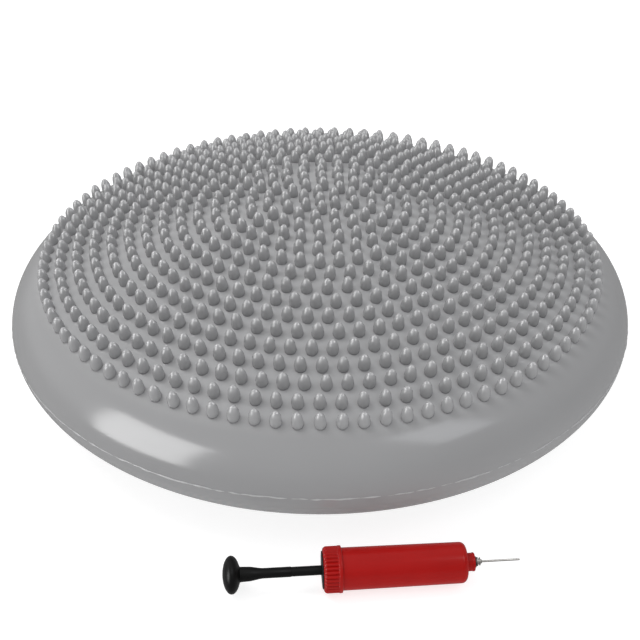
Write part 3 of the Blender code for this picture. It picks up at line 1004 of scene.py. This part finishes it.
def guide_outline():
    face, flange, bore, sleeve = CAP_BACK - 0.05 * MM, 0.4 * MM, 2.4 * MM, 5.2 * MM
    rim = CAP_RADIUS - 2.0 * MM
    return [
        (face - flange, bore + 0.2 * MM),
        (face - flange, rim - 0.3 * MM),
        *arc(face - flange / 2, rim - flange / 2, flange / 2, 150, 0, 5),
        (face, sleeve),
        (CAP_BACK + 1.8 * MM, sleeve),
        (CAP_BACK + 1.8 * MM, sleeve + 0.6 * MM),
        (CAP_BACK + 2.5 * MM, sleeve),
        (CAP_BACK + 2.5 * MM, bore),
        (face - flange + 0.2 * MM, bore),
    ]


pump_piece("rod_guide", guide_outline(), BLACK_FINISH, "pump", "pump_rod_guide", 72)

# %% [markdown]
# ## Handle and rod
# The palm pushes on a knob shaped like a lens. Past it the neck flares in to a shank only a
# little thicker than the rod, and a fine step shows where the rod is pressed into the handle.

# %% Turn the handle and the rod
HANDLE_RADIUS = 8.1 * MM
HANDLE_BACK = -51.3 * MM
HANDLE_END = -22 * MM


def handle_outline():
    middle, front_depth = HANDLE_BACK + 3.8 * MM, 3.9 * MM
    bore = 1.7 * MM
    neck_radius, shank_radius = 3.1 * MM, 2.2 * MM
    neck_start, neck_end, steps = -40.6 * MM, -33.6 * MM, 12
    outline = [(HANDLE_BACK, 0)]
    for angle in range(-84, 60, 6):
        turn = math.radians(angle)
        depth = middle - HANDLE_BACK if angle < 0 else front_depth
        outline.append((middle + depth * math.sin(turn), HANDLE_RADIUS * math.cos(turn)))
    outline.append((middle + 0.90 * front_depth, neck_radius + 0.6 * MM))
    outline.append((middle + 0.96 * front_depth, neck_radius + 0.15 * MM))
    for i in range(steps + 1):
        share = i / steps
        radius = neck_radius - (neck_radius - shank_radius) * share**2 * (3 - 2 * share)
        outline.append((neck_start + (neck_end - neck_start) * share, radius))
    outline += [
        (HANDLE_END - 0.1 * MM, shank_radius),
        (HANDLE_END, shank_radius - 0.08 * MM),
        (HANDLE_END - 0.6 * MM, shank_radius - 0.08 * MM),
        (HANDLE_END - 0.6 * MM, bore),
        (HANDLE_END - 10 * MM, bore),
        (HANDLE_END - 10 * MM, 0),
    ]
    return outline


def rod_outline():
    end, radius, spigot, screw_hole = 16.7 * MM, 2.05 * MM, 1.4 * MM, 1.1 * MM
    return [
        (HANDLE_END - 9 * MM, 0),
        (HANDLE_END - 9 * MM, spigot),
        (HANDLE_END - 0.5 * MM, spigot),
        (HANDLE_END - 0.5 * MM, radius),
        (end, radius),
        (end, screw_hole),
        (end - 8 * MM, screw_hole),
        (end - 8 * MM, 0),
    ]


handle, rod = handle_outline(), rod_outline()
pump_piece("handle", handle, BLACK_FINISH, "plunger", "pump_handle", 96, False)
pump_piece("rod", rod, BLACK_FINISH, "plunger", "pump_rod", 48, False)

# %% [markdown]
# ## Needle
# The inflating needle is a thin tube brazed into a small turned hub. The hub has a flange to
# seal against, a waist, and a second rim for the fingers. A bead of solder closes the joint at
# the hub's nose.

# %% Turn the needle
NEEDLE_RADIUS = 0.45 * MM
NEEDLE_TIP = 77.1 * MM
HUB_FACE = 58.2 * MM


def hub_outline():
    return [
        (HUB_FACE - 3 * MM, 0.75 * MM),
        (HUB_FACE - 3 * MM, 1.35 * MM),
        (HUB_FACE, 1.35 * MM),
        (HUB_FACE, 1.85 * MM),
        (HUB_FACE + 0.1 * MM, 1.95 * MM),
        (HUB_FACE + 0.45 * MM, 1.95 * MM),
        (HUB_FACE + 0.55 * MM, 1.85 * MM),
        (HUB_FACE + 0.75 * MM, 1.2 * MM),
        (HUB_FACE + 1.05 * MM, 1.2 * MM),
        (HUB_FACE + 1.2 * MM, 1.75 * MM),
        (HUB_FACE + 1.5 * MM, 1.75 * MM),
        (HUB_FACE + 1.7 * MM, 1.1 * MM),
        (HUB_FACE + 2.3 * MM, 0.75 * MM),
    ]


def tube_outline():
    bore = 0.2 * MM
    return [
        (HUB_FACE - 2.5 * MM, bore),
        (HUB_FACE - 2.5 * MM, NEEDLE_RADIUS),
        (HUB_FACE + 2.3 * MM, NEEDLE_RADIUS),
        (HUB_FACE + 2.5 * MM, NEEDLE_RADIUS),
        (NEEDLE_TIP - 0.5 * MM, NEEDLE_RADIUS),
        (NEEDLE_TIP - 0.15 * MM, NEEDLE_RADIUS - 0.1 * MM),
        (NEEDLE_TIP, bore + 0.05 * MM),
        (NEEDLE_TIP - 0.05 * MM, bore),
    ]


pump_piece("hub", hub_outline(), METAL_FINISH, "needle", "needle_hub", 48)
pump_piece("needle", tube_outline(), METAL_FINISH, "needle", "needle_tube", 24)

# %% [markdown]
# ## Pieces inside the pump
# The piston, its cup and washer, the screw, the wiper and the check disc are hidden at rest,
# and the working model's shapes are right for them. They only need their finishes.

# %% Finish the hidden pieces
INNER_FINISHES = {
    "pump_rod_wiper": RUBBER_FINISH,
    "pump_check_disc": RUBBER_FINISH,
    "pump_cup_seal": RUBBER_FINISH,
    "needle_washer": RUBBER_FINISH,
    "pump_piston": BLACK_FINISH,
    "pump_cup_washer": METAL_FINISH,
    "pump_piston_screw": METAL_FINISH,
}
for node_name, finish in INNER_FINISHES.items():
    mesh = frame["nodes"][node_name].data
    mesh.materials.clear()
    mesh.materials.append(finish.material)
print("finished inside:", sorted(INNER_FINISHES))

# %% [markdown]
# ## Floor and backdrop
# A plain pale floor that glows a little by itself, so that the shadow under the cushion stays
# soft. Shiny vinyl would mirror it as a hard white edge, so mirrored rays pass it by and meet
# the dim lower part of the room. Round it all stands a white backdrop that only the camera
# sees, because the room's own light has to come through it. Neither is part of the object, and
# the floor lies a hair below the foot.

# %% Lay the floor and hang the backdrop
BACKDROP_RADIUS = 9


def stage_piece(name, bm, base, glow):
    mesh = bpy.data.meshes.new(name)
    bm.to_mesh(mesh)
    bm.free()
    finish = Finish(name, Roughness=0.9, Specular_IOR_Level=0.0)
    finish.paint(Base_Color=shade(WHITE, base), Emission_Color=(*WHITE, 1))
    finish.paint(Emission_Strength=glow)
    mesh.materials.append(finish.material)
    made = bpy.data.objects.new(name, mesh)
    made.visible_glossy = False
    made.visible_shadow = False
    bpy.context.collection.objects.link(made)
    return made


FLOOR_GAP = 0.1 * MM


def make_stage():
    disc = bmesh.new()
    bmesh.ops.create_circle(disc, cap_ends=True, segments=96, radius=BACKDROP_RADIUS)
    floor = stage_piece("floor", disc, base=0.5, glow=0.76)
    floor.location.z = -FLOOR_GAP
    ball = bmesh.new()
    bmesh.ops.create_uvsphere(ball, u_segments=96, v_segments=48, radius=BACKDROP_RADIUS * 0.99)
    backdrop = stage_piece("backdrop", ball, base=0.0, glow=1.05)
    backdrop.visible_diffuse = False


make_stage()
